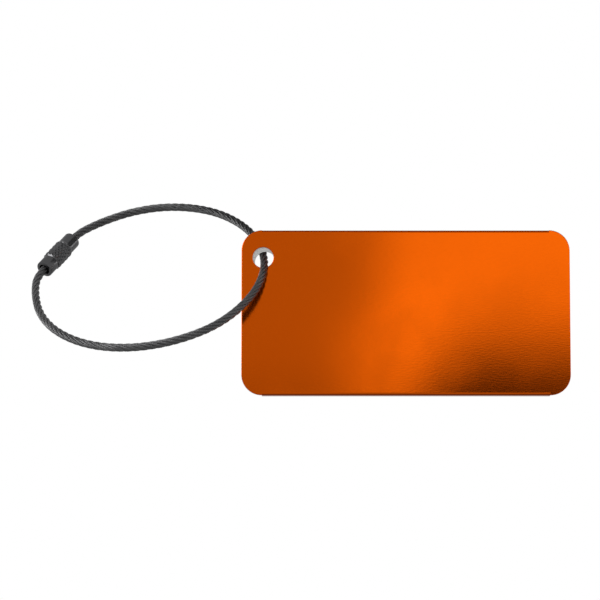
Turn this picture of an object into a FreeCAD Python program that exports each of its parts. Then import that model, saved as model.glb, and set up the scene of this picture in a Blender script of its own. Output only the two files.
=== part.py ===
import FreeCAD, Part

# Luggage tag: a folded aluminium sleeve with an address card, on a screw-locked wire loop.
# Units are millimetres. The tag stands on its long edge in the XZ plane. Its plain face looks along -Y,
# +X runs along its length away from the loop, and +Z is up. The origin is the centre of the tag.

import math
import os

from FreeCAD import Vector as V

# ---- folded shell
TAG_LENGTH = 80.0
TAG_HEIGHT = 40.4
TAG_DEPTH = 3.6
SHEET = 0.5
CORNER_RADIUS = 5.0
BEND_OUTER_RADIUS = 0.62
RAIL_WIDTH = 2.7
RAIL_CORNER_RADIUS = 1.2
EDGE_BREAK = 0.12
SHELL_HOLE_CENTRE = (-34.75, 13.51)
SHELL_HOLE_RADIUS = 2.54

# ---- insert plate, behind the face
PLATE_THICKNESS = 0.5
PLATE_SIDE_MARGIN = 0.4
PLATE_EDGE_CLEARANCE = 0.2
PLATE_CORNER_RADIUS = 4.6
PLATE_HOLE_CENTRE = (-34.13, 12.36)
PLATE_HOLE_RADIUS = 2.6

# ---- address card and its clear cover, which slide in the rails
CARD_LEFT = -30.2
CARD_RIGHT = 34.8
CARD_HEIGHT = 38.4
CARD_THICKNESS = 0.3
CARD_GAP = 0.08
WINDOW_HEIGHT = 38.8
WINDOW_THICKNESS = 1.5
WINDOW_CORNER_RADIUS = 0.8

# ---- cable
CABLE_DIAMETER = 2.0
ARC_SHARE = 0.45
# The middle line of the ring, from inside the collar, down and round the front, through the hole and
# back behind the tag to the stop ferrule. The first and last two points lie on the clasp's axis.
CABLE_ROUTE = [
    (-88.42, 9.62, 12.62),
    (-89.82, 7.98, 10.75),
    (-90.7, 5.7, 8.4),
    (-90.4, 1.3, 4.2),
    (-89.0, -3.7, -0.4),
    (-85.8, -8.7, -4.5),
    (-80.8, -13.2, -7.8),
    (-74.5, -16.6, -9.9),
    (-67.5, -18.8, -10.6),
    (-60.2, -19.7, -10.0),
    (-53.0, -19.4, -8.2),
    (-46.3, -17.7, -5.3),
    (-40.8, -14.7, -1.2),
    (-36.3, -9.9, 4.2),
    (-34.2, -4.1, 10.3),
    (-34.8, 1.7, 15.7),
    (-37.2, 7.0, 20.4),
    (-41.2, 11.9, 24.3),
    (-46.6, 16.1, 27.3),
    (-53.1, 19.3, 29.0),
    (-60.3, 21.1, 29.4),
    (-67.7, 21.6, 28.3),
    (-74.2, 20.6, 26.0),
    (-79.4, 19.0, 23.4),
    (-81.74, 17.46, 21.51),
    (-83.24, 15.70, 19.51),
]

# ---- screw clasp, along its own axis
CLASP_CENTRE = V(-85.74, 12.763, 16.177)
CLASP_AXIS = V(0.4908, 0.5758, 0.6539)
CLASP_LENGTH = 12.9
COLLAR_RADIUS = 2.12
COLLAR_LENGTH = 3.1
COLLAR_CHAMFER = 0.2
RECESS_RADIUS = 1.3
RECESS_DEPTH = 5.6
RECESS_MOUTH_RADIUS = 1.62
RECESS_MOUTH_DEPTH = 0.7
STUD_RADIUS = 1.6
STUD_LENGTH = 3.0
THREAD_CLEARANCE = 0.1
SHOULDER_LENGTH = 0.45
KNURL_RADIUS = 2.42
KNURL_LENGTH = 5.2
TAPER_LENGTH = 0.7
NECK_RADIUS = 2.1
NECK_CHAMFER = 0.25
THREAD_BORE_LENGTH = 3.3
STOP_BORE_RADIUS = 1.52
STOP_RADIUS = 1.42
STOP_LENGTH = 2.9
STOP_FACE_GAP = 0.05
NECK_WALL = 1.3
NECK_BORE_RADIUS = 1.22

FRONT = -TAG_DEPTH / 2
BACK = TAG_DEPTH / 2
TOP = TAG_HEIGHT / 2
RAIL_HALF_LENGTH = TAG_LENGTH / 2 - CORNER_RADIUS
PLATE_FRONT = FRONT + SHEET
PLATE_BACK = PLATE_FRONT + PLATE_THICKNESS
CARD_FRONT = PLATE_BACK + CARD_GAP
WINDOW_FRONT = CARD_FRONT + CARD_THICKNESS


def rounded_panel(low_x, high_x, height, radius, front, thickness):
    """A flat panel in the XZ plane with four round corners, its front face at y = front."""
    box = Part.makeBox(high_x - low_x, thickness, height, V(low_x, front, -height / 2))
    return box.makeFillet(radius, edges_along_y(box))


def edges_along_y(shape):
    """The straight edges of a shape that run along Y."""
    found = []
    for edge in shape.Edges:
        if isinstance(edge.Curve, Part.Line) and abs(edge.tangentAt(edge.FirstParameter).y) > 0.999:
            found.append(edge)
    return found


def hole_tool(centre, radius):
    """A cylinder along Y that cuts a hole through the whole tag."""
    x, z = centre
    return Part.makeCylinder(radius, 2 * TAG_DEPTH, V(x, -TAG_DEPTH, z), V(0, 1, 0))


def rail(side):
    """The bent edge at the top (side = 1) or bottom (side = -1): bend, flange and lip as one section."""
    inner_radius = BEND_OUTER_RADIUS - SHEET

    def wrap(offset, radius):
        """The section's outline at a distance inside the outer surface, from the face to the lip."""
        front = FRONT + offset
        back = BACK - offset
        edge = TOP - offset
        half = radius * (1 - math.sqrt(0.5))
        face_end = V(0, front, side * (TOP - BEND_OUTER_RADIUS))
        bend_middle = V(0, front + half, side * (edge - half))
        flange_start = V(0, front + radius, side * edge)
        flange_end = V(0, back - radius, side * edge)
        back_middle = V(0, back - half, side * (edge - half))
        lip_start = V(0, back, side * (TOP - BEND_OUTER_RADIUS))
        lip_end = V(0, back, side * (TOP - RAIL_WIDTH))
        return [
            Part.Arc(face_end, bend_middle, flange_start).toShape(),
            Part.LineSegment(flange_start, flange_end).toShape(),
            Part.Arc(flange_end, back_middle, lip_start).toShape(),
            Part.LineSegment(lip_start, lip_end).toShape(),
        ]

    outer = wrap(0.0, BEND_OUTER_RADIUS)
    inner = wrap(SHEET, inner_radius)
    lip_tip = Part.LineSegment(outer[-1].lastVertex().Point, inner[-1].lastVertex().Point).toShape()
    face_cut = Part.LineSegment(inner[0].firstVertex().Point, outer[0].firstVertex().Point).toShape()
    wire = Part.Wire(Part.__sortEdges__(outer + inner + [lip_tip, face_cut]))
    section = Part.Face(wire)
    section.translate(V(-RAIL_HALF_LENGTH, 0, 0))
    solid = section.extrude(V(2 * RAIL_HALF_LENGTH, 0, 0))
    lip_z = TOP - RAIL_WIDTH
    corners = []
    for edge in edges_along_y(solid):
        if abs(abs(edge.CenterOfMass.z) - lip_z) < SHEET / 2:
            corners.append(edge)
    return solid.makeFillet(RAIL_CORNER_RADIUS, corners)


def tag_shell():
    """The sleeve: a face with round corners and a C-shaped rail along the top and the bottom."""
    face = rounded_panel(-TAG_LENGTH / 2, TAG_LENGTH / 2, TAG_HEIGHT, CORNER_RADIUS, FRONT, SHEET)
    for side in (1, -1):
        low_z = min(side * (TOP - BEND_OUTER_RADIUS), side * TOP)
        strip = Part.makeBox(
            2 * RAIL_HALF_LENGTH, SHEET, BEND_OUTER_RADIUS, V(-RAIL_HALF_LENGTH, FRONT, low_z)
        )
        face = face.cut(strip)
    shell = face.fuse([rail(1), rail(-1)]).removeSplitter()
    shell = shell.cut(hole_tool(SHELL_HOLE_CENTRE, SHELL_HOLE_RADIUS))
    return break_front_edges(shell)


def break_front_edges(shell):
    """Rounds the face's cut edges: its ends, its corners and the hole's rim, not the bends."""
    chosen = []
    for edge in shell.Edges:
        box = edge.BoundBox
        on_face = abs(box.YMin - FRONT) < 0.001 and abs(box.YMax - FRONT) < 0.001
        along_bend = abs(edge.CenterOfMass.z) > TOP - BEND_OUTER_RADIUS - 0.01 and box.ZLength < 0.01
        if on_face and not along_bend and edge.Length > 1:
            chosen.append(edge)
    return shell.makeFillet(EDGE_BREAK, chosen)


def insert_plate():
    """The bare plate behind the face, trapped by the cable through its own hole."""
    height = TAG_HEIGHT - 2 * SHEET - 2 * PLATE_EDGE_CLEARANCE
    half = TAG_LENGTH / 2 - PLATE_SIDE_MARGIN
    plate = rounded_panel(-half, half, height, PLATE_CORNER_RADIUS, PLATE_FRONT, PLATE_THICKNESS)
    return plate.cut(hole_tool(PLATE_HOLE_CENTRE, PLATE_HOLE_RADIUS))


def address_card():
    """The paper card. It stops short of the holes."""
    corner = V(CARD_LEFT, CARD_FRONT, -CARD_HEIGHT / 2)
    return Part.makeBox(CARD_RIGHT - CARD_LEFT, CARD_THICKNESS, CARD_HEIGHT, corner)


def clear_window():
    """The clear cover that lies on the card and runs in the rails with it."""
    return rounded_panel(
        CARD_LEFT, CARD_RIGHT, WINDOW_HEIGHT, WINDOW_CORNER_RADIUS, WINDOW_FRONT, WINDOW_THICKNESS
    )


def turned(outline):
    """A solid of revolution from (distance along the clasp, radius) points, put on the clasp's axis."""
    points = [V(radius, 0, along - CLASP_LENGTH / 2) for along, radius in outline]
    points.append(points[0])
    face = Part.Face(Part.makePolygon(points))
    solid = face.revolve(V(0, 0, 0), V(0, 0, 1), 360)
    if solid.Volume < 0:
        solid.reverse()
    turn = FreeCAD.Rotation(V(0, 0, 1), CLASP_AXIS)
    solid.Placement = FreeCAD.Placement(CLASP_CENTRE, turn)
    return Part.Solid(solid.Shells[0]) if solid.ShapeType != "Solid" else solid


def screw_ferrule():
    """The collar and its threaded stud, one turned piece, with the recess that takes the cable."""
    stud_end = COLLAR_LENGTH + STUD_LENGTH
    return turned([
        (0, RECESS_MOUTH_RADIUS),
        (0, COLLAR_RADIUS - COLLAR_CHAMFER),
        (COLLAR_CHAMFER, COLLAR_RADIUS),
        (COLLAR_LENGTH, COLLAR_RADIUS),
        (COLLAR_LENGTH, STUD_RADIUS),
        (stud_end, STUD_RADIUS),
        (stud_end, 0),
        (RECESS_DEPTH, 0),
        (RECESS_DEPTH, RECESS_RADIUS),
        (RECESS_MOUTH_DEPTH, RECESS_RADIUS),
    ])


def knurled_barrel():
    """The barrel: shoulder, knurled grip, taper and neck, bored for the stud and the stop ferrule."""
    knurl_start = COLLAR_LENGTH + SHOULDER_LENGTH
    knurl_end = knurl_start + KNURL_LENGTH
    thread_end = COLLAR_LENGTH + THREAD_BORE_LENGTH
    return turned([
        (COLLAR_LENGTH, STUD_RADIUS + THREAD_CLEARANCE),
        (COLLAR_LENGTH, COLLAR_RADIUS),
        (knurl_start, KNURL_RADIUS),
        (knurl_end, KNURL_RADIUS),
        (knurl_end + TAPER_LENGTH, NECK_RADIUS),
        (CLASP_LENGTH - NECK_CHAMFER, NECK_RADIUS),
        (CLASP_LENGTH, NECK_RADIUS - NECK_CHAMFER),
        (CLASP_LENGTH, NECK_BORE_RADIUS),
        (CLASP_LENGTH - NECK_WALL, NECK_BORE_RADIUS),
        (CLASP_LENGTH - NECK_WALL, STOP_BORE_RADIUS),
        (thread_end, STOP_BORE_RADIUS),
        (thread_end, STUD_RADIUS + THREAD_CLEARANCE),
    ])


def stop_ferrule():
    """The sleeve crimped to the cable's other end, which the barrel turns on and cannot slip over."""
    face = CLASP_LENGTH - NECK_WALL - STOP_FACE_GAP
    return turned([
        (face - STOP_LENGTH, 0),
        (face - STOP_LENGTH, STOP_RADIUS),
        (face, STOP_RADIUS),
        (face, 0),
    ])


def loop_cable():
    """The cable as a round tube along straight runs joined by tangent arcs."""
    points = [V(*p) for p in CABLE_ROUTE]
    edges = []
    radii = []
    start = points[0]
    for before, corner, after in zip(points, points[1:], points[2:]):
        back = (before - corner).normalize()
        ahead = (after - corner).normalize()
        shorter = min((before - corner).Length, (after - corner).Length)
        half_turn = (math.pi - back.getAngle(ahead)) / 2
        reach = ARC_SHARE * shorter
        radius = reach / math.tan(half_turn)
        arc_start = corner + back * reach
        arc_end = corner + ahead * reach
        bisector = (back + ahead).normalize()
        to_middle = radius / math.cos(half_turn) - radius
        arc_middle = corner + bisector * to_middle
        edges.append(Part.LineSegment(start, arc_start).toShape())
        edges.append(Part.Arc(arc_start, arc_middle, arc_end).toShape())
        radii.append(radius)
        start = arc_end
    edges.append(Part.LineSegment(start, points[-1]).toShape())
    path = Part.Wire(edges)
    direction = points[1] - points[0]
    section = Part.Wire(Part.makeCircle(CABLE_DIAMETER / 2, points[0], direction))
    tube = path.makePipeShell([section], True, True)
    expected = math.pi * (CABLE_DIAMETER / 2) ** 2 * path.Length
    print("cable: arc radii", " ".join("%.1f" % radius for radius in radii))
    print("cable: length %.1f, volume %.2f of %.2f expected" % (path.Length, tube.Volume, expected))
    return tube


NODES = {
    "tag_shell": tag_shell,
    "insert_plate": insert_plate,
    "address_card": address_card,
    "clear_window": clear_window,
    "loop_cable": loop_cable,
    "screw_ferrule": screw_ferrule,
    "knurled_barrel": knurled_barrel,
    "stop_ferrule": stop_ferrule,
}

os.makedirs("parts", exist_ok=True)
for name, make in NODES.items():
    shape = make()
    if not shape.isValid() or len(shape.Solids) != 1:
        raise SystemExit("%s is not one valid solid" % name)
    shape.exportStep("parts/%s.step" % name)
    print("%s: %.1f mm3" % (name, shape.Volume))
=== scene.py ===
import math

import bmesh
import bpy
from mathutils import Matrix, Vector


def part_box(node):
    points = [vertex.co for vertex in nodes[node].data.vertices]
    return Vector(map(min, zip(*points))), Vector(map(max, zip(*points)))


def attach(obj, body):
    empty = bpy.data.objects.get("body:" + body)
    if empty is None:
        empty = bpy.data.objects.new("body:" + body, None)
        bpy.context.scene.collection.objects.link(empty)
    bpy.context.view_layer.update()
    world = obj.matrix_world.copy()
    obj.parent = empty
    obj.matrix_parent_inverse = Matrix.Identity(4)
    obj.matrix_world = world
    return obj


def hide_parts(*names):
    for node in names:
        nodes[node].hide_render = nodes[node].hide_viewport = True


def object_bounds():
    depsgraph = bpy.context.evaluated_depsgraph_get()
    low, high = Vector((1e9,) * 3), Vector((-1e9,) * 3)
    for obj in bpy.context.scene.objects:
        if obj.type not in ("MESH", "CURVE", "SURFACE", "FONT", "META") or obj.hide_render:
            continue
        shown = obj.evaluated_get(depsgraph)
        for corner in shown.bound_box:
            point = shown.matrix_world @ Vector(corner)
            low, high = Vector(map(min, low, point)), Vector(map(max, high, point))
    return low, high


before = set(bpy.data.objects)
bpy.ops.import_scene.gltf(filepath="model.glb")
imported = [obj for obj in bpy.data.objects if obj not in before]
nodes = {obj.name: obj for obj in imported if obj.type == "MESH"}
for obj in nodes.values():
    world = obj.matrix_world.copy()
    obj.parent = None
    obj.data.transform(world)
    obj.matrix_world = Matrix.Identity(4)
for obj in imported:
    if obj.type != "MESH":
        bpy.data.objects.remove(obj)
cadLow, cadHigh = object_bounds()
scene = bpy.context.scene
mm = 0.001
fullTurn = 2 * math.pi
bumpDistance = 0.01 * mm
print("frame loaded:", ", ".join(sorted(nodes)))


# small helpers for node trees and finished meshes

def addNode(tree, kind, sockets=None, **settings):
    node = tree.nodes.new(kind)
    node.location = (210 * (len(tree.nodes) % 12), -260 * (len(tree.nodes) // 12))
    for name, value in settings.items():
        setattr(node, name, value)
    for key, value in (sockets or {}).items():
        if isinstance(value, bpy.types.NodeSocket):
            tree.links.new(value, node.inputs[key])
        else:
            node.inputs[key].default_value = value
    return node


def math2(tree, operation, first, second=0.0, third=0.0):
    wired = {0: first, 1: second, 2: third}
    return addNode(tree, "ShaderNodeMath", wired, operation=operation).outputs[0]


def scaleVector(tree, vector, factor):
    wired = {"Vector": vector, "Scale": factor}
    return addNode(tree, "ShaderNodeVectorMath", wired, operation="SCALE").outputs[0]


def addVectors(tree, first, second):
    return addNode(tree, "ShaderNodeVectorMath", {0: first, 1: second}, operation="ADD").outputs[0]


def mapRange(tree, value, low, high, toLow=0.0, toHigh=1.0, kind="SMOOTHSTEP"):
    wired = {"Value": value, "From Min": low, "From Max": high, "To Min": toLow, "To Max": toHigh}
    return addNode(tree, "ShaderNodeMapRange", wired, interpolation_type=kind).outputs["Result"]


def mixColours(tree, factor, first, second, blend="MIX"):
    node = addNode(tree, "ShaderNodeMix", {0: factor}, data_type="RGBA", blend_type=blend)
    for place, value in ((6, first), (7, second)):
        if isinstance(value, bpy.types.NodeSocket):
            tree.links.new(value, node.inputs[place])
        else:
            node.inputs[place].default_value = value
    return node.outputs[2]


def newTree(name, kind, inputs, outputs):
    tree = bpy.data.node_groups.new(name, kind)
    for label, socketType, value in inputs:
        socket = tree.interface.new_socket(label, in_out="INPUT", socket_type=socketType)
        if value is not None:
            socket.default_value = value
    for label, socketType in outputs:
        tree.interface.new_socket(label, in_out="OUTPUT", socket_type=socketType)
    return tree, tree.nodes.new("NodeGroupInput"), tree.nodes.new("NodeGroupOutput")


def shapeTree(name, inputs):
    geometry = [("Geometry", "NodeSocketGeometry", None)]
    material = [("Material", "NodeSocketMaterial", None)]
    tree, given, result = newTree(
        name, "GeometryNodeTree", geometry + inputs + material, [("Geometry", "NodeSocketGeometry")]
    )
    return tree, given.outputs, result


def endTree(tree, shape, material, result):
    whole = addNode(tree, "GeometryNodeRealizeInstances", {0: shape}).outputs[0]
    painted = addNode(tree, "GeometryNodeSetMaterial", {"Geometry": whole, "Material": material})
    tree.links.new(painted.outputs[0], result.inputs[0])


def growFrom(piece, tree, values):
    # runs a tree on a piece and keeps its result as a plain mesh
    modifier = piece.modifiers.new(tree.name, "NODES")
    modifier.node_group = tree
    for item in tree.interface.items_tree:
        if item.in_out == "INPUT" and item.name in values:
            modifier[item.identifier] = values[item.name]
    bpy.context.view_layer.update()
    depsgraph = bpy.context.evaluated_depsgraph_get()
    grown = bpy.data.meshes.new_from_object(piece.evaluated_get(depsgraph))
    piece.modifiers.clear()
    before = piece.data
    piece.data = grown
    bpy.data.meshes.remove(before)
    grown.name = piece.name
    return piece


def pieceFromMesh(name, mesh):
    piece = bpy.data.objects.new(name, mesh)
    scene.collection.objects.link(piece)
    return piece


def newMaterial(name, metallic, roughness, baseColour):
    material = bpy.data.materials.new(name)
    material.use_nodes = True
    shader = material.node_tree.nodes["Principled BSDF"]
    shader.inputs["Base Color"].default_value = (*baseColour, 1)
    shader.inputs["Metallic"].default_value = metallic
    shader.inputs["Roughness"].default_value = roughness
    material.diffuse_color = (*baseColour, 1)
    return material, material.node_tree, shader


def emptyMaterial(name):
    material = bpy.data.materials.new(name)
    material.use_nodes = True
    material.node_tree.nodes.clear()
    return material, material.node_tree


def surfaceBump(tree, height, strength):
    # fine relief in a finish
    return addNode(tree, "ShaderNodeBump", {
        "Height": height, "Strength": strength, "Distance": bumpDistance
    }).outputs[0]


cameraSet = {
    "aim": Vector((-25.75, 0, 3.27)) * mm,
    "distance": 813 * mm,
    "elevation": math.radians(-7.0),
    "lens": 200,
    "sensor": 36,
}


def placeCamera():
    lens = bpy.data.cameras.new("camera")
    lens.lens = cameraSet["lens"]
    lens.sensor_width = cameraSet["sensor"]
    lens.clip_start = 0.05
    lens.clip_end = 20
    camera = bpy.data.objects.new("camera", lens)
    scene.collection.objects.link(camera)
    tilt = cameraSet["elevation"]
    back = Vector((0, -math.cos(tilt), math.sin(tilt)))
    camera.location = cameraSet["aim"] + back * cameraSet["distance"]
    camera.rotation_euler = (-back).to_track_quat("-Z", "Y").to_euler()
    scene.camera = camera


placeCamera()
print("camera placed")


# shared effects: groups that give masks and heights

def brushedGroup():
    # long fine lines left by rolling and brushing, along X
    inputs = [
        ("Line Length", "NodeSocketFloat", 24 * mm),
        ("Line Pitch", "NodeSocketFloat", 0.3 * mm),
        ("Depth", "NodeSocketFloat", 1.0),
    ]
    outputs = [("Mask", "NodeSocketFloat"), ("Height", "NodeSocketFloat")]
    tree, given, result = newTree("brushedLines", "ShaderNodeTree", inputs, outputs)
    place = addNode(tree, "ShaderNodeTexCoord").outputs["Object"]
    across = math2(tree, "DIVIDE", 1.0, given.outputs["Line Pitch"])
    along = math2(tree, "DIVIDE", 1.0, given.outputs["Line Length"])
    stretch = addNode(tree, "ShaderNodeCombineXYZ", {"X": along, "Y": across, "Z": across}).outputs[0]
    line = addNode(
        tree, "ShaderNodeVectorMath", {0: place, 1: stretch}, operation="MULTIPLY"
    ).outputs[0]
    fine = addNode(tree, "ShaderNodeTexNoise", {"Vector": line, "Scale": 1.0, "Detail": 3.0})
    mask = mapRange(tree, fine.outputs[0], 0.35, 0.68)
    tree.links.new(mask, result.inputs["Mask"])
    tree.links.new(math2(tree, "MULTIPLY", mask, given.outputs["Depth"]), result.inputs["Height"])
    return tree


def handledGroup():
    # faint smears and fine specks from handling
    inputs = [
        ("Smear Size", "NodeSocketFloat", 14 * mm),
        ("Speck Size", "NodeSocketFloat", 0.25 * mm),
    ]
    outputs = [("Smear", "NodeSocketFloat"), ("Speck", "NodeSocketFloat")]
    tree, given, result = newTree("handledSurface", "ShaderNodeTree", inputs, outputs)
    place = addNode(tree, "ShaderNodeTexCoord").outputs["Object"]
    for size, output, low, high in (("Smear Size", "Smear", 0.42, 0.7), ("Speck Size", "Speck", 0.4, 0.75)):
        scale = math2(tree, "DIVIDE", 1.0, given.outputs[size])
        noise = addNode(tree, "ShaderNodeTexNoise", {"Vector": place, "Scale": scale, "Detail": 4.0})
        tree.links.new(mapRange(tree, noise.outputs[0], low, high), result.inputs[output])
    return tree


brushed = brushedGroup()
handled = handledGroup()


def addGroup(tree, group, values):
    node = tree.nodes.new("ShaderNodeGroup")
    node.node_tree = group
    for name, value in values.items():
        node.inputs[name].default_value = value
    return node


orangeSet = {
    "colour": (0.88, 0.125, 0.002),
    "worn": (0.80, 0.105, 0.002),
    "roughness": 0.10,
    "lineLength": 1.3 * mm,
    "linePitch": 0.26 * mm,
    "lineBump": 0.09,
    "lineTone": 0.2,
    "smearSize": 16 * mm,
    "smearRoughness": (0.9, 1.25),  # times the roughness, from clean to smeared
}


def orangeAnodised():
    material, tree, shader = newMaterial(
        "orangeAnodised", 1.0, orangeSet["roughness"], orangeSet["colour"]
    )
    lines = addGroup(tree, brushed, {
        "Line Length": orangeSet["lineLength"], "Line Pitch": orangeSet["linePitch"]
    })
    marks = addGroup(tree, handled, {"Smear Size": orangeSet["smearSize"]})
    toned = mixColours(
        tree,
        math2(tree, "MULTIPLY", lines.outputs["Mask"], orangeSet["lineTone"]),
        (*orangeSet["colour"], 1),
        (*orangeSet["worn"], 1),
    )
    tree.links.new(toned, shader.inputs["Base Color"])
    clean, smeared = [orangeSet["roughness"] * times for times in orangeSet["smearRoughness"]]
    dulled = mapRange(tree, marks.outputs["Smear"], 0, 1, clean, smeared, "LINEAR")
    tree.links.new(dulled, shader.inputs["Roughness"])
    bump = surfaceBump(tree, lines.outputs["Height"], orangeSet["lineBump"])
    tree.links.new(bump, shader.inputs["Normal"])
    return material


bareSet = {
    "colour": (0.72, 0.72, 0.71),
    "dull": (0.60, 0.60, 0.59),
    "roughness": 0.32,
    "lineLength": 8 * mm,
    "linePitch": 0.16 * mm,
    "lineBump": 0.35,
    "lineTone": 0.6,
    "smearSize": 9 * mm,
    "smearRoughness": (0.85, 1.3),
}


def bareAluminium():
    material, tree, shader = newMaterial(
        "bareAluminium", 1.0, bareSet["roughness"], bareSet["colour"]
    )
    lines = addGroup(tree, brushed, {
        "Line Length": bareSet["lineLength"], "Line Pitch": bareSet["linePitch"]
    })
    marks = addGroup(tree, handled, {"Smear Size": bareSet["smearSize"]})
    mask = math2(tree, "MULTIPLY", lines.outputs["Mask"], bareSet["lineTone"])
    toned = mixColours(tree, mask, (*bareSet["colour"], 1), (*bareSet["dull"], 1))
    tree.links.new(toned, shader.inputs["Base Color"])
    clean, smeared = [bareSet["roughness"] * times for times in bareSet["smearRoughness"]]
    dulled = mapRange(tree, marks.outputs["Smear"], 0, 1, clean, smeared, "LINEAR")
    tree.links.new(dulled, shader.inputs["Roughness"])
    bump = surfaceBump(tree, lines.outputs["Height"], bareSet["lineBump"])
    tree.links.new(bump, shader.inputs["Normal"])
    return material


wireFinish = {
    "colour": (0.17, 0.17, 0.173),
    "lightColour": (0.22, 0.22, 0.223),
    "roughness": 0.40,
    "smearSize": 5 * mm,
    "speckSize": 0.12 * mm,
    "speckRoughness": (0.8, 1.3),
    "pits": 0.1,
}
claspFinish = {
    "colour": (0.135, 0.135, 0.139),
    "lightColour": (0.165, 0.165, 0.169),
    "roughness": 0.22,
    "smearSize": 4 * mm,
    "speckSize": 0.10 * mm,
    "speckRoughness": (0.8, 1.3),
    "pits": 0.15,
}


def platedMaterial(name, finish):
    # dark nickel plating, with tiny pits that break up its gloss
    material, tree, shader = newMaterial(name, 1.0, finish["roughness"], finish["colour"])
    marks = addGroup(tree, handled, {
        "Smear Size": finish["smearSize"], "Speck Size": finish["speckSize"]
    })
    toned = mixColours(
        tree, marks.outputs["Smear"], (*finish["colour"], 1), (*finish["lightColour"], 1)
    )
    tree.links.new(toned, shader.inputs["Base Color"])
    smooth, pitted = [finish["roughness"] * times for times in finish["speckRoughness"]]
    dulled = mapRange(tree, marks.outputs["Speck"], 0, 1, smooth, pitted, "LINEAR")
    tree.links.new(dulled, shader.inputs["Roughness"])
    bump = surfaceBump(tree, marks.outputs["Speck"], finish["pits"])
    tree.links.new(bump, shader.inputs["Normal"])
    return material


cardSet = {
    "paper": (0.86, 0.85, 0.81),
    "fleck": (0.78, 0.77, 0.72),
    "ink": (0.16, 0.18, 0.22),
    "linePitch": 6.2 * mm,
    "lineWidth": 0.25 * mm,
    "firstLine": -13.0 * mm,
    "lastLine": 12.6 * mm,
    "margin": 4.0 * mm,
    "overrun": 1 * mm,  # how far the ruled area goes past its first and last line
    "skin": 0.05 * mm,  # ink is only on this much of the back
    "fibreScale": 2500.0,
    "fibreBump": 0.2,
    "fibreDepth": 0.02 * mm,
}


def cardPaper():
    # pale card with ruled writing lines on the side that shows through the cover
    material, tree, shader = newMaterial("cardPaper", 0.0, 0.7, cardSet["paper"])
    place = addNode(tree, "ShaderNodeTexCoord").outputs["Object"]
    parts = addNode(tree, "ShaderNodeSeparateXYZ", {0: place}).outputs
    fibres = addNode(tree, "ShaderNodeTexNoise", {
        "Vector": place, "Scale": cardSet["fibreScale"], "Detail": 5.0
    })
    paper = mixColours(
        tree, mapRange(tree, fibres.outputs[0], 0.4, 0.7), (*cardSet["paper"], 1), (*cardSet["fleck"], 1)
    )
    up = math2(tree, "SUBTRACT", parts["Z"], cardSet["firstLine"])
    rows = math2(tree, "PINGPONG", up, cardSet["linePitch"] / 2)
    ruled = mapRange(tree, rows, cardSet["lineWidth"] * 0.4, cardSet["lineWidth"] * 0.6, 1.0, 0.0)
    low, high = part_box("address_card")
    inside = 1.0
    for axis, start, end in (
        ("X", low.x + cardSet["margin"], high.x - cardSet["margin"]),
        ("Z", cardSet["firstLine"] - cardSet["overrun"], cardSet["lastLine"] + cardSet["overrun"]),
    ):
        inside = math2(tree, "MULTIPLY", inside, math2(tree, "GREATER_THAN", parts[axis], start))
        inside = math2(tree, "MULTIPLY", inside, math2(tree, "LESS_THAN", parts[axis], end))
    behind = math2(tree, "GREATER_THAN", parts["Y"], high.y - cardSet["skin"])
    ink = math2(tree, "MULTIPLY", math2(tree, "MULTIPLY", inside, behind), ruled)
    toned = mixColours(tree, ink, paper, (*cardSet["ink"], 1))
    tree.links.new(toned, shader.inputs["Base Color"])
    bump = addNode(tree, "ShaderNodeBump", {
        "Height": fibres.outputs[0],
        "Strength": cardSet["fibreBump"],
        "Distance": cardSet["fibreDepth"],
    })
    tree.links.new(bump.outputs[0], shader.inputs["Normal"])
    return material


windowSet = {
    "tint": (0.96, 0.97, 0.97),
    "ior": 1.49,
    "roughness": 0.03,
    "smearRoughness": (0.02, 0.09),
    "smearSize": 11 * mm,
    "speckSize": 0.6 * mm,
}


def clearPlastic():
    w = windowSet
    material, tree, shader = newMaterial("clearPlastic", 0.0, w["roughness"], w["tint"])
    shader.inputs["IOR"].default_value = w["ior"]
    shader.inputs["Transmission Weight"].default_value = 1.0
    marks = addGroup(tree, handled, {"Smear Size": w["smearSize"], "Speck Size": w["speckSize"]})
    dulled = mapRange(tree, marks.outputs["Smear"], 0, 1, *w["smearRoughness"], "LINEAR")
    tree.links.new(dulled, shader.inputs["Roughness"])
    # light on its way to or from the card goes straight through
    path = addNode(tree, "ShaderNodeLightPath").outputs
    straight = math2(tree, "MAXIMUM", path["Is Shadow Ray"], path["Is Diffuse Ray"])
    clear = addNode(tree, "ShaderNodeBsdfTransparent")
    mixed = addNode(tree, "ShaderNodeMixShader", {
        0: straight, 1: shader.outputs[0], 2: clear.outputs[0]
    })
    tree.links.new(mixed.outputs[0], tree.nodes["Material Output"].inputs["Surface"])
    return material


materials = {
    "orange_anodised": orangeAnodised(),
    "bare_aluminium": bareAluminium(),
    "card_paper": cardPaper(),
    "clear_plastic": clearPlastic(),
    "black_wire": platedMaterial("blackWire", wireFinish),
    "black_plated": platedMaterial("blackPlated", claspFinish),
}


def paintNode(name, slot):
    node = nodes[name]
    if not node.material_slots:
        node.data.materials.append(materials[slot])
    for entry in node.material_slots:
        entry.material = materials[slot]


for name, slot in (
    ("tag_shell", "orange_anodised"),
    ("insert_plate", "bare_aluminium"),
    ("address_card", "card_paper"),
    ("clear_window", "clear_plastic"),
    ("stop_ferrule", "black_plated"),
):
    paintNode(name, slot)
print("materials made")


ropeSet = {
    "diameter": 2.0 * mm,
    "step": 0.4 * mm,
    "strands": 6,
    "lay": 11.6 * mm,  # one full turn of a strand round the rope
    "strandRing": 0.672 * mm,
    "wires": 6,
    "strandLay": 4.0 * mm,  # the wires turn the same way in each strand
    "wireRing": 0.213 * mm,
    "wireRadius": 0.115 * mm,
    "wireSides": 6,
    "coreRadius": 0.42 * mm,
}
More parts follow.
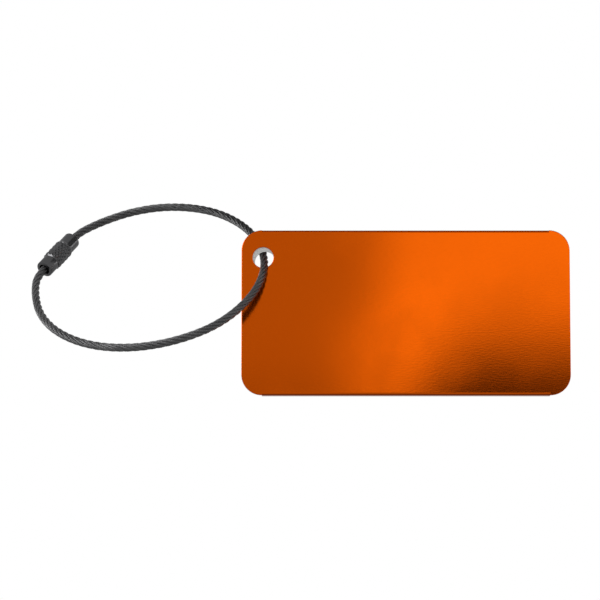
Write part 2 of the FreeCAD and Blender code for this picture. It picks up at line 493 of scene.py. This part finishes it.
# from inside the collar, down and round the front, through the hole and back behind the tag
ropeRoute = [
    (-88.42, 9.62, 12.62),
    (-89.82, 7.98, 10.75),
    (-90.7, 5.7, 8.4),
    (-90.4, 1.3, 4.2),
    (-89.0, -3.7, -0.4),
    (-85.8, -8.7, -4.5),
    (-80.8, -13.2, -7.8),
    (-74.5, -16.6, -9.9),
    (-67.5, -18.8, -10.6),
    (-60.2, -19.7, -10.0),
    (-53.0, -19.4, -8.2),
    (-46.3, -17.7, -5.3),
    (-40.8, -14.7, -1.2),
    (-36.3, -9.9, 4.2),
    (-34.2, -4.1, 10.3),
    (-34.8, 1.7, 15.7),
    (-37.2, 7.0, 20.4),
    (-41.2, 11.9, 24.3),
    (-46.6, 16.1, 27.3),
    (-53.1, 19.3, 29.0),
    (-60.3, 21.1, 29.4),
    (-67.7, 21.6, 28.3),
    (-74.2, 20.6, 26.0),
    (-79.4, 19.0, 23.4),
    (-81.74, 17.46, 21.51),
    (-83.24, 15.70, 19.51),
]


def ropeLine():
    # the rope's middle line: one smooth curve through the route, read as a plain mesh
    curve = bpy.data.curves.new("ropeLine", "CURVE")
    curve.dimensions = "3D"
    curve.resolution_u = 16
    spline = curve.splines.new("NURBS")
    spline.points.add(len(ropeRoute) - 1)
    for point, (x, y, z) in zip(spline.points, ropeRoute):
        point.co = (x * mm, y * mm, z * mm, 1)
    spline.order_u = 3
    spline.use_endpoint_u = True
    holder = bpy.data.objects.new("ropeLine", curve)
    line = bpy.data.meshes.new_from_object(holder)
    bpy.data.objects.remove(holder)
    bpy.data.curves.remove(curve)
    return line


def windAround(tree, line, amount, ring, lay):
    # copies of a line, wound round it at a distance, one full turn in each lay length
    tangent = addNode(tree, "GeometryNodeInputTangent").outputs[0]
    normal = addNode(tree, "GeometryNodeInputNormal").outputs[0]
    side = addNode(
        tree, "ShaderNodeVectorMath", {0: tangent, 1: normal}, operation="CROSS_PRODUCT"
    ).outputs[0]
    length = addNode(tree, "GeometryNodeSplineParameter").outputs["Length"]
    kept = addNode(tree, "GeometryNodeCaptureAttribute", domain="POINT")
    for kind, label, value in (
        ("VECTOR", "Out", normal), ("VECTOR", "Side", side), ("FLOAT", "Length", length)
    ):
        kept.capture_items.new(kind, label)
        tree.links.new(value, kept.inputs[label])
    tree.links.new(line, kept.inputs[0])
    wired = {"Geometry": kept.outputs[0], "Amount": amount}
    copies = addNode(tree, "GeometryNodeDuplicateElements", wired, domain="SPLINE")
    share = math2(tree, "DIVIDE", copies.outputs["Duplicate Index"], amount)
    turns = math2(tree, "ADD", share, math2(tree, "DIVIDE", kept.outputs["Length"], lay))
    angle = math2(tree, "MULTIPLY", turns, fullTurn)
    out = scaleVector(tree, kept.outputs["Out"], math2(tree, "COSINE", angle))
    sideways = scaleVector(tree, kept.outputs["Side"], math2(tree, "SINE", angle))
    offset = scaleVector(tree, addVectors(tree, out, sideways), ring)
    moved = addNode(
        tree, "GeometryNodeSetPosition", {"Geometry": copies.outputs["Geometry"], "Offset": offset}
    )
    return moved.outputs[0]


def ropeTree():
    number, whole = "NodeSocketFloat", "NodeSocketInt"
    tree, given, result = shapeTree("twistedRope", [
        ("Step", number, 0.5 * mm),
        ("Strands", whole, 6),
        ("Lay", number, 12 * mm),
        ("Strand Ring", number, 0.67 * mm),
        ("Wires", whole, 6),
        ("Strand Lay", number, 6 * mm),
        ("Wire Ring", number, 0.2 * mm),
        ("Wire Radius", number, 0.1 * mm),
        ("Wire Sides", whole, 6),
        ("Core Radius", number, 0.4 * mm),
    ])
    curve = addNode(tree, "GeometryNodeMeshToCurve", {0: given["Geometry"]}).outputs[0]
    steady = addNode(tree, "GeometryNodeSetCurveNormal", {0: curve}).outputs[0]
    line = addNode(
        tree, "GeometryNodeResampleCurve", {"Curve": steady, "Length": given["Step"]}, mode="LENGTH"
    ).outputs[0]
    strands = windAround(tree, line, given["Strands"], given["Strand Ring"], given["Lay"])
    wires = windAround(tree, strands, given["Wires"], given["Wire Ring"], given["Strand Lay"])
    parts = []
    for path, radius, sides in (
        (wires, given["Wire Radius"], given["Wire Sides"]),
        (line, given["Core Radius"], 8),
    ):
        section = addNode(
            tree, "GeometryNodeCurvePrimitiveCircle", {"Resolution": sides, "Radius": radius}
        ).outputs[0]
        tube = addNode(tree, "GeometryNodeCurveToMesh", {0: path, 1: section})
        tube.inputs["Fill Caps"].default_value = True
        parts.append(tube.outputs[0])
    joined = addNode(tree, "GeometryNodeJoinGeometry")
    for part in parts:
        tree.links.new(part, joined.inputs[0])
    smooth = addNode(tree, "GeometryNodeSetShadeSmooth", {0: joined.outputs[0]}).outputs[0]
    endTree(tree, smooth, given["Material"], result)
    return tree


def makeRope():
    line = ropeLine()
    path = [tuple(vertex.co) for vertex in line.vertices]
    rope = growFrom(pieceFromMesh("wireRope", line), ropeTree(), {
        "Step": ropeSet["step"],
        "Strands": ropeSet["strands"],
        "Lay": ropeSet["lay"],
        "Strand Ring": ropeSet["strandRing"],
        "Wires": ropeSet["wires"],
        "Strand Lay": ropeSet["strandLay"],
        "Wire Ring": ropeSet["wireRing"],
        "Wire Radius": ropeSet["wireRadius"],
        "Wire Sides": ropeSet["wireSides"],
        "Core Radius": ropeSet["coreRadius"],
        "Material": materials["black_wire"],
    })
    return rope, path


rope, ropePath = makeRope()
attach(rope, "loop")
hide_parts("loop_cable")
print("rope made:", len(rope.data.polygons), "faces")


# turned pieces of the clasp

claspSet = {
    "centre": Vector((-85.74, 12.763, 16.177)) * mm,
    "axis": Vector((0.4908, 0.5758, 0.6539)).normalized(),
    "length": 12.9 * mm,
}
claspTurn = Vector((0, 0, 1)).rotation_difference(claspSet["axis"]).to_matrix().to_4x4()
claspPlace = Matrix.Translation(claspSet["centre"]) @ claspTurn @ Matrix.Translation(
    (0, 0, -claspSet["length"] / 2)
)


def turnBlank(name, outline, columns, longest):
    # a closed ring section, (along, radius) in millimetres, turned round Z; long runs are cut to rows
    rows = []
    for (along, radius), (nextAlong, nextRadius) in zip(outline, outline[1:] + outline[:1]):
        reach = abs(nextAlong - along)
        cuts = max(1, round(reach / longest)) if longest else 1
        for cut in range(cuts):
            share = cut / cuts
            rows.append((
                along + (nextAlong - along) * share,
                radius + (nextRadius - radius) * share,
            ))
    mesh = bmesh.new()
    rings = []
    for along, radius in rows:
        ring = []
        if radius < 1e-6:
            ring = [mesh.verts.new((0, 0, along * mm))] * columns
        else:
            for column in range(columns):
                angle = fullTurn * column / columns
                x, y = radius * mm * math.cos(angle), radius * mm * math.sin(angle)
                ring.append(mesh.verts.new((x, y, along * mm)))
        rings.append(ring)
    for ring, nextRing in zip(rings, rings[1:] + rings[:1]):
        for column in range(columns):
            after = (column + 1) % columns
            corners = [ring[column], ring[after], nextRing[after], nextRing[column]]
            unique = list(dict.fromkeys(corners))
            if len(unique) > 2:
                mesh.faces.new(unique)
    bmesh.ops.recalc_face_normals(mesh, faces=mesh.faces)
    blank = bpy.data.meshes.new(name)
    mesh.to_mesh(blank)
    mesh.free()
    return pieceFromMesh(name, blank)


def smoothByAngle(mesh, limit):
    mesh.shade_smooth()
    mesh.set_sharp_from_angle(angle=math.radians(limit))


barrelSet = {
    "shoulder": 3.1,
    "knurlStart": 3.55,
    "knurlEnd": 8.75,
    "taperEnd": 9.45,
    "end": 12.9,
    "shoulderRadius": 2.12,
    "knurlRadius": 2.42,
    "neckRadius": 2.1,
    "around": 16,
    "rowPitch": 1.5,  # from one diamond to the next along the barrel
    "depth": 0.24,
    "flat": 0.14,  # the share of a diamond that is left flat at its tip
    "cuts": 4,  # grid cells in half a diamond
    "threadRadius": 1.7,
    "threadEnd": 6.4,
    "chamberRadius": 1.52,  # where the crimped stop sits
    "mouthRadius": 1.22,
    "mouthLength": 1.3,
    "joint": 0.02,  # gap left to the collar
    "softAngle": 22,
}


def knurlTree():
    number = "NodeSocketFloat"
    tree, given, result = shapeTree("diamondKnurl", [
        ("Start", number, 3.5 * mm),
        ("End", number, 8.8 * mm),
        ("Around", number, 16.0),
        ("Row Pitch", number, 1.5 * mm),
        ("Depth", number, 0.2 * mm),
        ("Flat", number, 0.1),
        ("Radius", number, 2.4 * mm),
    ])
    place = addNode(tree, "GeometryNodeInputPosition").outputs[0]
    parts = addNode(tree, "ShaderNodeSeparateXYZ", {0: place}).outputs
    angle = math2(tree, "ARCTAN2", parts["Y"], parts["X"])
    columns = math2(tree, "MULTIPLY", angle, math2(tree, "DIVIDE", given["Around"], fullTurn))
    along = math2(tree, "SUBTRACT", parts["Z"], given["Start"])
    rows = math2(tree, "DIVIDE", along, given["Row Pitch"])
    height = None
    # two families of grooves that cross: each is deepest where its count is whole
    for operation in ("ADD", "SUBTRACT"):
        count = math2(tree, operation, columns, rows)
        ridge = math2(tree, "MULTIPLY", math2(tree, "PINGPONG", count, 0.5), 2.0)
        height = ridge if height is None else math2(tree, "MINIMUM", height, ridge)
    top = math2(tree, "SUBTRACT", 1.0, given["Flat"])
    height = math2(tree, "DIVIDE", math2(tree, "MINIMUM", height, top), top)
    sink = math2(tree, "MULTIPLY", math2(tree, "SUBTRACT", 1.0, height), given["Depth"])
    flat = addNode(tree, "ShaderNodeCombineXYZ", {"X": parts["X"], "Y": parts["Y"]}).outputs[0]
    outwards = addNode(tree, "ShaderNodeVectorMath", {0: flat}, operation="NORMALIZE").outputs[0]
    radius = addNode(tree, "ShaderNodeVectorMath", {0: flat}, operation="LENGTH").outputs["Value"]
    margin = 0.001 * mm
    chosen = math2(tree, "GREATER_THAN", parts["Z"], math2(tree, "SUBTRACT", given["Start"], margin))
    for operation, value, limit in (
        ("LESS_THAN", parts["Z"], math2(tree, "ADD", given["End"], margin)),
        ("GREATER_THAN", radius, math2(tree, "SUBTRACT", given["Radius"], margin)),
    ):
        chosen = math2(tree, "MULTIPLY", chosen, math2(tree, operation, value, limit))
    inwards = math2(tree, "MULTIPLY", math2(tree, "MULTIPLY", sink, chosen), -1.0)
    offset = scaleVector(tree, outwards, inwards)
    cut = addNode(tree, "GeometryNodeSetPosition", {"Geometry": given["Geometry"], "Offset": offset})
    creased = addNode(
        tree, "GeometryNodeTriangulate", {0: cut.outputs[0]}, quad_method="SHORTEST_DIAGONAL"
    ).outputs[0]
    endTree(tree, creased, given["Material"], result)
    return tree


def makeBarrel():
    s = barrelSet
    outline = [
        (s["shoulder"] + s["joint"], s["threadRadius"]),
        (s["shoulder"] + s["joint"], s["shoulderRadius"] - 0.06),
        (s["shoulder"] + 0.08, s["shoulderRadius"]),
        (s["knurlStart"], s["knurlRadius"]),
        (s["knurlEnd"], s["knurlRadius"]),
        (s["taperEnd"], s["neckRadius"]),
        (s["end"] - 0.25, s["neckRadius"]),
        (s["end"] - 0.07, s["neckRadius"] - 0.07),
        (s["end"], s["neckRadius"] - 0.25),
        (s["end"], s["mouthRadius"] + 0.08),
        (s["end"] - 0.08, s["mouthRadius"]),
        (s["end"] - s["mouthLength"], s["mouthRadius"]),
        (s["end"] - s["mouthLength"], s["chamberRadius"]),
        (s["threadEnd"], s["chamberRadius"]),
        (s["threadEnd"], s["threadRadius"]),
    ]
    columns = s["around"] * 2 * s["cuts"]
    barrel = turnBlank("knurledBarrel", outline, columns, s["rowPitch"] / 2 / s["cuts"])
    growFrom(barrel, knurlTree(), {
        "Start": s["knurlStart"] * mm,
        "End": s["knurlEnd"] * mm,
        "Around": float(s["around"]),
        "Row Pitch": s["rowPitch"] * mm,
        "Depth": s["depth"] * mm,
        "Flat": s["flat"],
        "Radius": s["knurlRadius"] * mm,
        "Material": materials["black_plated"],
    })
    smoothByAngle(barrel.data, s["softAngle"])
    barrel.data.transform(claspPlace)
    return barrel


barrel = makeBarrel()
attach(barrel, "barrel")
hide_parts("knurled_barrel")
print("barrel made:", len(barrel.data.polygons), "faces")


ferruleSet = {
    "collarRadius": 2.12,
    "collarLength": 3.1,
    "mouthRadius": 1.42,
    "recessRadius": 1.25,
    "recessDepth": 5.6,
    "rootRadius": 1.42,
    "crestRadius": 1.6,
    "studEnd": 6.1,
    "threadPitch": 0.6,
    "threadMargin": 0.25,  # plain length at each end of the stud
    "recessMouth": 0.7,
    "columns": 72,
    "softAngle": 32,
}


def threadTree():
    # winds a V-shaped ridge round Z and joins it to the piece
    number = "NodeSocketFloat"
    tree, given, result = shapeTree("screwThread", [
        ("Start", number, 3.3 * mm),
        ("Length", number, 2.6 * mm),
        ("Pitch", number, 0.6 * mm),
        ("Root Radius", number, 1.4 * mm),
        ("Crest Radius", number, 1.6 * mm),
    ])
    turns = math2(tree, "DIVIDE", given["Length"], given["Pitch"])
    spiral = addNode(tree, "GeometryNodeCurveSpiral", {
        "Resolution": 48,
        "Rotations": turns,
        "Start Radius": given["Root Radius"],
        "End Radius": given["Root Radius"],
        "Height": given["Length"],
    })
    lifted = addNode(tree, "GeometryNodeSetPosition", {
        "Geometry": spiral.outputs[0],
        "Offset": addNode(tree, "ShaderNodeCombineXYZ", {"Z": given["Start"]}).outputs[0],
    }).outputs[0]
    upright = addNode(tree, "GeometryNodeSetCurveNormal", {0: lifted}, mode="Z_UP").outputs[0]
    depth = math2(tree, "SUBTRACT", given["Crest Radius"], given["Root Radius"])
    section = addNode(tree, "GeometryNodeCurvePrimitiveCircle", {"Resolution": 3, "Radius": 1.0}).outputs[0]
    # the round section's three corners become the ridge's crest and its two feet
    place = addNode(tree, "GeometryNodeInputPosition").outputs[0]
    corner = addNode(tree, "ShaderNodeSeparateXYZ", {0: place}).outputs
    outward = math2(tree, "MULTIPLY", mapRange(tree, corner["X"], -0.5, 1.0, -0.15, 1.0, "LINEAR"), depth)
    wide = math2(tree, "MULTIPLY", corner["Y"], math2(tree, "MULTIPLY", given["Pitch"], 0.52))
    shaped = addNode(tree, "GeometryNodeSetPosition", {
        "Geometry": section,
        "Position": addNode(tree, "ShaderNodeCombineXYZ", {
            "X": math2(tree, "MULTIPLY", outward, -1.0), "Y": wide
        }).outputs[0],
    }).outputs[0]
    ridge = addNode(tree, "GeometryNodeCurveToMesh", {0: upright, 1: shaped})
    ridge.inputs["Fill Caps"].default_value = True
    joined = addNode(tree, "GeometryNodeJoinGeometry", {0: given["Geometry"]})
    tree.links.new(ridge.outputs[0], joined.inputs[0])
    endTree(tree, joined.outputs[0], given["Material"], result)
    return tree


def makeFerrule():
    s = ferruleSet
    outline = [
        (0.04, s["mouthRadius"]),
        (0.0, s["mouthRadius"] + 0.05),
        (0.0, s["collarRadius"] - 0.2),
        (0.06, s["collarRadius"] - 0.07),
        (0.2, s["collarRadius"]),
        (s["collarLength"] - 0.06, s["collarRadius"]),
        (s["collarLength"], s["collarRadius"] - 0.06),
        (s["collarLength"], s["rootRadius"]),
        (s["studEnd"] - 0.15, s["rootRadius"]),
        (s["studEnd"], s["rootRadius"] - 0.15),
        (s["studEnd"], 0.0),
        (s["recessDepth"], 0.0),
        (s["recessDepth"], s["recessRadius"]),
        (s["recessMouth"], s["recessRadius"]),
    ]
    ferrule = turnBlank("screwFerrule", outline, s["columns"], None)
    growFrom(ferrule, threadTree(), {
        "Start": (s["collarLength"] + s["threadMargin"]) * mm,
        "Length": (s["studEnd"] - s["collarLength"] - 2 * s["threadMargin"]) * mm,
        "Pitch": s["threadPitch"] * mm,
        "Root Radius": s["rootRadius"] * mm,
        "Crest Radius": s["crestRadius"] * mm,
        "Material": materials["black_plated"],
    })
    smoothByAngle(ferrule.data, s["softAngle"])
    ferrule.data.transform(claspPlace)
    return ferrule


ferrule = makeFerrule()
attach(ferrule, "stud")
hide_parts("screw_ferrule")
print("ferrule made:", len(ferrule.data.polygons), "faces")


# light, floor and surroundings

roomSet = {
    "around": 0.49,  # level of the grey surroundings, from a little below the horizon up
    "below": 0.38,
    "belowReach": (-0.6, -0.1),  # height of a unit direction where it is darkest, and where it ends
    "behind": 0.75,  # share of the light that is left straight behind
    "behindReach": (0.7, 0.95),
    "floor": (0.86, 0.86, 0.85),
    "floorHalf": 1.5,
    "floorDrop": 28 * mm,  # below the tag, so that the loop clears the floor over its whole swing
    "floorFade": (0.12, 0.45),  # distance from the middle at which it turns into plain white
}


def surroundings():
    world = bpy.data.worlds.new("studio")
    world.use_nodes = True
    scene.world = world
    tree = world.node_tree
    tree.nodes.clear()
    towards = addNode(tree, "ShaderNodeTexCoord").outputs["Generated"]
    parts = addNode(tree, "ShaderNodeSeparateXYZ", {0: towards}).outputs
    level = mapRange(tree, parts["Z"], *roomSet["belowReach"], roomSet["below"], roomSet["around"])
    rear = mapRange(tree, parts["Y"], *roomSet["behindReach"], 1.0, roomSet["behind"])
    level = math2(tree, "MULTIPLY", level, rear)
    grey = addNode(tree, "ShaderNodeBackground", {"Color": (1, 1, 1, 1), "Strength": level})
    white = addNode(tree, "ShaderNodeBackground", {"Color": (1, 1, 1, 1), "Strength": 1.0})
    seen = addNode(tree, "ShaderNodeLightPath").outputs["Is Camera Ray"]
    mixed = addNode(tree, "ShaderNodeMixShader", {0: seen, 1: grey.outputs[0], 2: white.outputs[0]})
    addNode(tree, "ShaderNodeOutputWorld", {"Surface": mixed.outputs[0]})


def flatMesh(name, corners):
    mesh = bpy.data.meshes.new(name)
    mesh.from_pydata(corners, [], [(0, 1, 2, 3)])
    panel = pieceFromMesh(name, mesh)
    return panel


def onlyFor(panel, camera=False, glossy=False):
    panel.visible_camera = camera
    panel.visible_glossy = glossy
    panel.visible_diffuse = False
    panel.visible_shadow = False
    panel.visible_transmission = glossy
    panel.visible_volume_scatter = False


def layFloor():
    # seen from above only, so that a low camera looks past it
    half, height = roomSet["floorHalf"], cadLow.z - roomSet["floorDrop"]
    floor = flatMesh("floor", [
        (-half, -half, height), (half, -half, height), (half, half, height), (-half, half, height)
    ])
    material, tree = emptyMaterial("floor")
    near = addNode(tree, "ShaderNodeBsdfDiffuse", {"Color": (*roomSet["floor"], 1)})
    white = addNode(tree, "ShaderNodeEmission", {"Color": (1, 1, 1, 1), "Strength": 1.0})
    place = addNode(tree, "ShaderNodeTexCoord").outputs["Object"]
    reach = addNode(tree, "ShaderNodeVectorMath", {0: place}, operation="LENGTH").outputs["Value"]
    far = mapRange(tree, reach, *roomSet["floorFade"])
    pale = addNode(tree, "ShaderNodeMixShader", {0: far, 1: near.outputs[0], 2: white.outputs[0]})
    gone = addNode(tree, "ShaderNodeBsdfTransparent")
    under = addNode(tree, "ShaderNodeNewGeometry").outputs["Backfacing"]
    mixed = addNode(tree, "ShaderNodeMixShader", {0: under, 1: pale.outputs[0], 2: gone.outputs[0]})
    addNode(tree, "ShaderNodeOutputMaterial", {"Surface": mixed.outputs[0]})
    floor.data.materials.append(material)
    onlyFor(floor, camera=True)


boardSet = {
    "y": -0.6,
    "low": (-0.16, 0.0),
    "high": (0.22, 0.2),
    "scale": 1.743,  # the board is this much larger than its image in the tag's face
    "shift": (19.2, 71.3),
    "bright": 1.07,
    # the rest is in millimetres of the tag's face
    "edgeUp": (-11.0, 7.0),  # the bright area's left edge leans between these heights
    "edgeAcross": (-13.2, -5.0),
    "edgeSoft": 7.5,
    "spot": (3.0, -1.5),
    "spotSize": (8.0, 10.0),
    "spotGain": 0.2,
    "darkTop": 5.5,
    "darkBottom": -20.5,
    "darkLeft": (8.3, -11.0),
    "darkLean": (0.922, -0.388),
    "darkSoft": 6.5,
    "darkLevel": 0.01,
    "farRise": 0.06,
    "farAcross": (20.0, 40.0),
    "fadeUp": (-21.0, -12.0),
    "fadeLevel": 0.75,
}


def lightBoard():
    # a large soft panel in front, uneven as the real one, that shows only in glossy reflections
    b = boardSet
    (x0, z0), (x1, z1) = b["low"], b["high"]
    board = flatMesh("softPanel", [
        (x0, b["y"], z0), (x0, b["y"], z1), (x1, b["y"], z1), (x1, b["y"], z0)
    ])
    material, tree = emptyMaterial("softPanel")
    place = addNode(tree, "ShaderNodeTexCoord").outputs["Object"]
    parts = addNode(tree, "ShaderNodeSeparateXYZ", {0: place}).outputs
    across, up = [
        math2(tree, "DIVIDE", math2(tree, "SUBTRACT", parts[axis], shift * mm), b["scale"] * mm)
        for axis, shift in (("X", b["shift"][0]), ("Z", b["shift"][1]))
    ]

    edge = math2(tree, "SUBTRACT", across, mapRange(tree, up, *b["edgeUp"], *b["edgeAcross"]))
    lit = mapRange(tree, edge, -b["edgeSoft"], b["edgeSoft"])
    level = mapRange(tree, lit, 0, 1, roomSet["around"], b["bright"], "LINEAR")
    away = [
        math2(tree, "DIVIDE", math2(tree, "SUBTRACT", value, centre), size)
        for value, centre, size in zip((across, up), b["spot"], b["spotSize"])
    ]
    away = addNode(tree, "ShaderNodeCombineXYZ", {"X": away[0], "Y": away[1]}).outputs[0]
    away = addNode(tree, "ShaderNodeVectorMath", {0: away}, operation="LENGTH").outputs["Value"]
    level = math2(tree, "ADD", level, mapRange(tree, away, 0, 1.6, b["spotGain"], 0))

    aside = [
        math2(tree, "MULTIPLY", math2(tree, "SUBTRACT", value, start), lean)
        for value, start, lean in zip((across, up), b["darkLeft"], b["darkLean"])
    ]
    right = mapRange(tree, math2(tree, "ADD", *aside), -b["darkSoft"], b["darkSoft"])
    low = math2(tree, "MULTIPLY", mapRange(tree, up, b["darkBottom"], b["darkTop"], 1.0, 0.0), right)
    darkest = mapRange(tree, across, *b["farAcross"], b["darkLevel"], b["darkLevel"] + b["farRise"])
    dim = mapRange(tree, low, 0, 1, 1.0, darkest, "LINEAR")
    dim = math2(tree, "MULTIPLY", dim, mapRange(tree, up, *b["fadeUp"], b["fadeLevel"], 1.0))
    strength = math2(tree, "MULTIPLY", level, dim)
    glow = addNode(tree, "ShaderNodeEmission", {"Strength": strength})
    addNode(tree, "ShaderNodeOutputMaterial", {"Surface": glow.outputs[0]})
    board.data.materials.append(material)
    onlyFor(board, glossy=True)


def glowMaterial(name, strength):
    material, tree = emptyMaterial(name)
    glow = addNode(tree, "ShaderNodeEmission", {"Color": (1, 1, 1, 1), "Strength": strength})
    addNode(tree, "ShaderNodeOutputMaterial", {"Surface": glow.outputs[0]})
    return material


darkCardSet = {
    "glow": 0.14,
    "halfWidth": 70 * mm,
    "front": -12 * mm,
    "back": 30 * mm,
    "height": 38 * mm,
}


def darkCards():
    # dark cards over and under the tag that deepen its bent edges
    c = darkCardSet
    dark = glowMaterial("darkCard", c["glow"])
    for name, height in (("cardAbove", c["height"]), ("cardBelow", -c["height"])):
        x, y0, y1 = c["halfWidth"], c["front"], c["back"]
        card = flatMesh(name, [(-x, y0, height), (x, y0, height), (x, y1, height), (-x, y1, height)])
        card.data.materials.append(dark)
        onlyFor(card, glossy=True)


# panels round the clasp, by their direction from it: azimuth 0 is in front and grows to the right
panelSet = {
    "leftPanel": {"azimuth": -50, "elevation": 17, "size": (0.90, 0.36), "glow": 4.0},
    "rightPanel": {"azimuth": 92, "elevation": 20, "size": (0.36, 0.50), "glow": 2.2},
    "darkPanel": {"azimuth": 66, "elevation": 46, "size": (0.22, 0.24), "glow": 0.18},
}
panelDistance = 0.8


def hangPanels():
    for name, p in panelSet.items():
        azimuth, elevation = math.radians(p["azimuth"]), math.radians(p["elevation"])
        level = math.cos(elevation)
        away = Vector((level * math.sin(azimuth), -level * math.cos(azimuth), math.sin(elevation)))
        side = Vector((math.cos(azimuth), math.sin(azimuth), 0)) * p["size"][0] / 2
        rise = away.cross(side).normalized() * p["size"][1] / 2
        middle = claspSet["centre"] + away * panelDistance
        panel = flatMesh(name, [
            tuple(middle + side * i + rise * j) for i, j in ((-1, -1), (1, -1), (1, 1), (-1, 1))
        ])
        panel.data.materials.append(glowMaterial(name, p["glow"]))
        onlyFor(panel, glossy=True)


lampSet = {
    "keyLamp": {"at": (-0.25, -0.40, 0.95), "size": 0.45, "power": 9.0},
    "fillLamp": {"at": (0.40, -0.30, 0.85), "size": 0.5, "power": 5.0},
    "backLamp": {"at": (0.10, 0.70, 0.75), "size": 0.6, "power": 6.0},
}


def hangLamps():
    # these light paper and plastic; the metal takes its shine from the panels
    target = (cadLow + cadHigh) / 2
    for name, lamp in lampSet.items():
        light = bpy.data.lights.new(name, "AREA")
        light.size = lamp["size"]
        light.energy = lamp["power"]
        holder = bpy.data.objects.new(name, light)
        scene.collection.objects.link(holder)
        holder.location = lamp["at"]
        holder.rotation_euler = (target - holder.location).to_track_quat("-Z", "Y").to_euler()
        holder.visible_camera = False
        holder.visible_glossy = False


surroundings()
layFloor()
lightBoard()
darkCards()
hangPanels()
hangLamps()
scene.view_settings.view_transform = "Standard"
print("lights placed")
